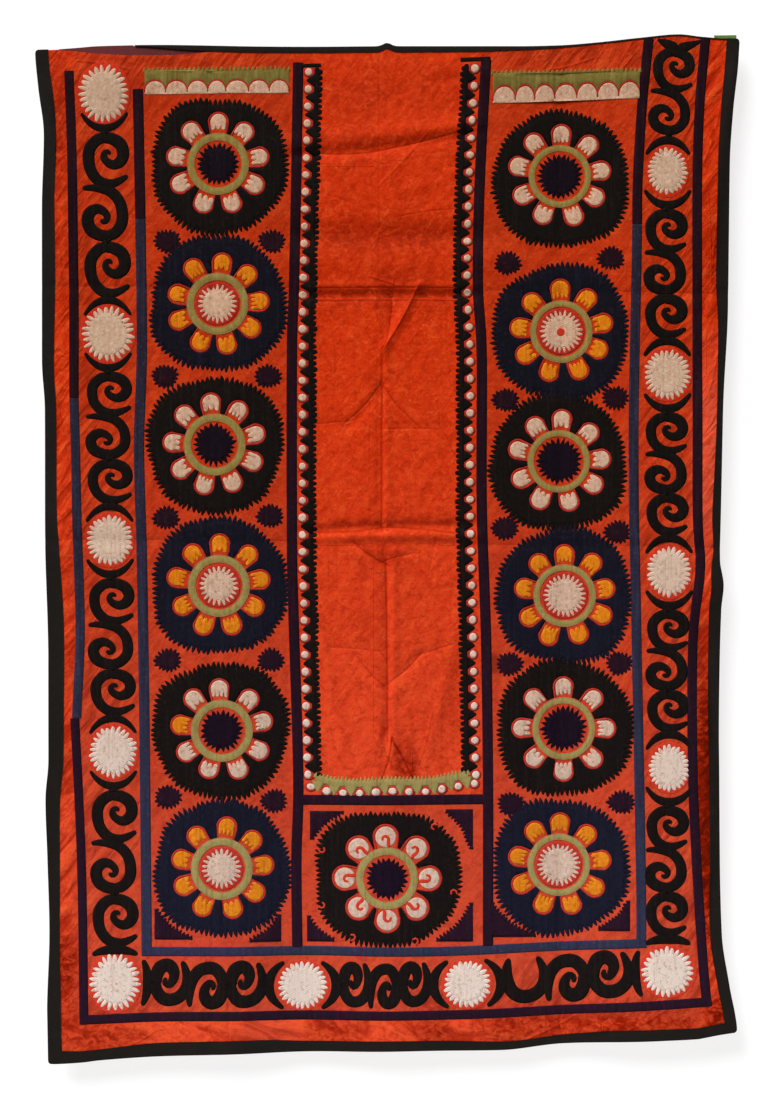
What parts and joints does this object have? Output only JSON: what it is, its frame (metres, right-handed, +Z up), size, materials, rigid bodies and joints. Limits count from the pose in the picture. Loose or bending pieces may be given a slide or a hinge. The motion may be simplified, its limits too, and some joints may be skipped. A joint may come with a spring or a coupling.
{
  "type": "suzani embroidered wall hanging",
  "caption": "Hung suzani of red satin with an empty niche framed by toothed rosettes, scroll borders and a dark folded binding.",
  "frame": {"origin": "middle of the top edge, on the cloth's middle surface", "axes": "+X across the cloth to the viewer's right, -Y out of the embroidered face, +Z up the cloth"},
  "size_m": [1.4495, 0.0252, 2.12],
  "materials": {
    "red_satin": "satin",
    "black_binding": "matte",
    "crimson_cotton": "matte",
    "green_cotton": "matte"
  },
  "bodies": {
    "root": {"ground_cloth": "red_satin", "binding_left": "black_binding", "binding_right": "black_binding", "binding_top": "black_binding", "binding_bottom": "black_binding", "lining_crimson": "crimson_cotton", "lining_green": "green_cotton"}
  },
  "joints": []
}
